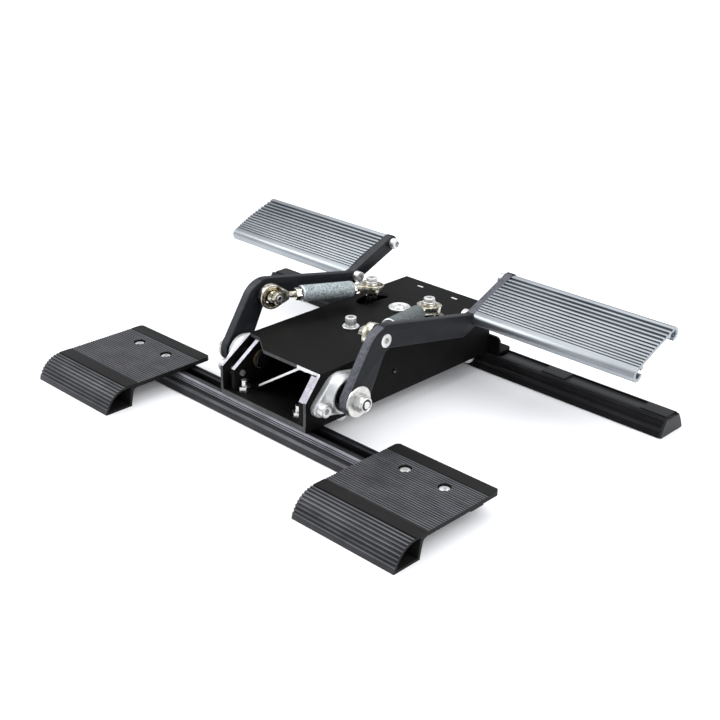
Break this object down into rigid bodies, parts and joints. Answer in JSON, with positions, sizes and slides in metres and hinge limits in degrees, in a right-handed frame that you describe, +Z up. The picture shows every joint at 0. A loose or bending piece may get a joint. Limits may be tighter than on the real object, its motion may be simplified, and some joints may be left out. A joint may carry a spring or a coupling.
{
  "type": "flight sim rudder pedals",
  "caption": "Linked rudder pedals for flight simulators: ribbed pads on bell-crank arms, tie rods to a rocker, steel body on extruded rails, sliding heel rests.",
  "frame": {"origin": "on the floor, at the middle of the footprint", "axes": "+X to the user's right along the rails, +Y away from the user, +Z up"},
  "size_m": [0.4868, 0.3356, 0.0993],
  "materials": {
    "anodised_black": "satin black anodising",
    "powder_black": "fine satin powder coat",
    "arm_black": "satin black with eased edges",
    "heel_black": "satin black anodising, ribbed",
    "cap_plastic": "matt",
    "strip_plastic": "matt",
    "block_rubber": "matt",
    "pad_aluminium": "satin natural anodising, ribbed",
    "bright_steel": "bright",
    "zinc_steel": "bright zinc",
    "housing_zinc": "cast, silver",
    "insert_steel": "black seal, ground rings",
    "rod_zinc": "yellow zinc plating",
    "barrel_aluminium": "fine knurl",
    "bronze": "sintered",
    "board_green": "satin"
  },
  "bodies": {
    "base": {"front_rail": "anodised_black", "rear_rail": "anodised_black", "rail_end_caps": "cap_plastic", "rear_slot_strips": "strip_plastic", "bump_blocks": "block_rubber", "base_plate": "powder_black", "top_cover": "powder_black", "rear_bracket": "powder_black", "bearing_brackets": "powder_black", "diagonal_brace": "powder_black", "tee_bolts": "zinc_steel", "hex_nuts": "zinc_steel", "base_screws": "bright_steel", "bearing_housings": "housing_zinc", "bearing_inserts": "insert_steel", "flange_bolts": "bright_steel", "shaft_bushings": "bronze", "anchor_post": "bright_steel", "tension_screw": "bright_steel", "top_screws": "bright_steel", "top_washers": "bright_steel", "rocker_shaft": "bright_steel", "sensor_board": "board_green"},
    "rocker": {"rocker_plate": "powder_black", "rocker_bushings": "bronze", "stud_spacers": "zinc_steel", "stud_screws": "bright_steel", "stud_washers": "bright_steel", "magnet_holder": "cap_plastic"},
    "spring": {"centring_spring": "bright_steel"},
    "right_ball": {"right_stud_ball": "bright_steel"},
    "right_tie_rod": {"right_rod_ends": "rod_zinc", "right_rod_barrel": "barrel_aluminium", "right_rod_locknuts": "zinc_steel"},
    "right_pedal": {"right_arm": "arm_black", "right_pad": "pad_aluminium", "right_pad_screws": "bright_steel", "right_pivot_shaft": "bright_steel", "right_pivot_washer": "bright_steel", "right_lock_nuts": "bright_steel", "right_elbow_bolt": "bright_steel", "right_elbow_ball": "rod_zinc"},
    "right_heel": {"right_heel_rest": "heel_black", "right_heel_bolts": "bright_steel", "right_heel_tee_nuts": "zinc_steel"},
    "left_ball": {"left_stud_ball": "bright_steel"},
    "left_tie_rod": {"left_rod_ends": "rod_zinc", "left_rod_barrel": "barrel_aluminium", "left_rod_locknuts": "zinc_steel"},
    "left_pedal": {"left_arm": "arm_black", "left_pad": "pad_aluminium", "left_pad_screws": "bright_steel", "left_pivot_shaft": "bright_steel", "left_pivot_washer": "bright_steel", "left_lock_nuts": "bright_steel", "left_elbow_bolt": "bright_steel", "left_elbow_ball": "rod_zinc"},
    "left_heel": {"left_heel_rest": "heel_black", "left_heel_bolts": "bright_steel", "left_heel_tee_nuts": "zinc_steel"}
  },
  "joints": [
    {"name": "right_pedal_swing", "type": "hinge", "parent": "base", "child": "right_pedal", "pos_m": [0.073, -0.05575, 0.042], "axis": [1, 0, 0], "range_deg": [-12, 12], "stiffness_Nm_per_rad": 6},
    {"name": "left_pedal_swing", "type": "hinge", "parent": "base", "child": "left_pedal", "pos_m": [-0.073, -0.05575, 0.042], "axis": [1, 0, 0], "range_deg": [-12, 12]},
    {"name": "rocker_turn", "type": "hinge", "parent": "base", "child": "rocker", "pos_m": [0, 0.07675, 0.053], "axis": [0, 0, 1], "range_deg": [-16.5, 16.5]},
    {"name": "spring_swing", "type": "hinge", "parent": "base", "child": "spring", "pos_m": [0, 0.01425, 0.046], "axis": [0, 0, 1], "range_deg": [-8.8, 8.8]},
    {"name": "right_ball_turn", "type": "hinge", "parent": "rocker", "child": "right_ball", "pos_m": [0.035, 0.07675, 0.07], "axis": [0, 0, 1], "range_deg": [-16.6, 16.6]},
    {"name": "right_rod_tilt", "type": "hinge", "parent": "right_ball", "child": "right_tie_rod", "pos_m": [0.035, 0.07675, 0.07], "axis": [0.97, 0.243, 0], "range_deg": [-3.8, 3.8]},
    {"name": "right_heel_slide", "type": "slide", "parent": "base", "child": "right_heel", "axis": [1, 0, 0], "range_m": [-0.06, 0]},
    {"name": "left_ball_turn", "type": "hinge", "parent": "rocker", "child": "left_ball", "pos_m": [-0.035, 0.07675, 0.07], "axis": [0, 0, 1], "range_deg": [-16.6, 16.6]},
    {"name": "left_rod_tilt", "type": "hinge", "parent": "left_ball", "child": "left_tie_rod", "pos_m": [-0.035, 0.07675, 0.07], "axis": [0.97, -0.243, 0], "range_deg": [-3.8, 3.8]},
    {"name": "left_heel_slide", "type": "slide", "parent": "base", "child": "left_heel", "axis": [1, 0, 0], "range_m": [-0.008, 0.052]}
  ],
  "couplings": [
    {"joint": "left_pedal_swing", "follows": "right_pedal_swing", "ratio": -1},
    {"joint": "rocker_turn", "follows": "right_pedal_swing", "ratio": -1.358},
    {"joint": "spring_swing", "follows": "right_pedal_swing", "ratio": 0.725},
    {"joint": "right_ball_turn", "follows": "right_pedal_swing", "ratio": 1.37},
    {"joint": "right_rod_tilt", "follows": "right_pedal_swing", "ratio": -0.311},
    {"joint": "left_ball_turn", "follows": "right_pedal_swing", "ratio": 1.37},
    {"joint": "left_rod_tilt", "follows": "right_pedal_swing", "ratio": 0.311}
  ]
}
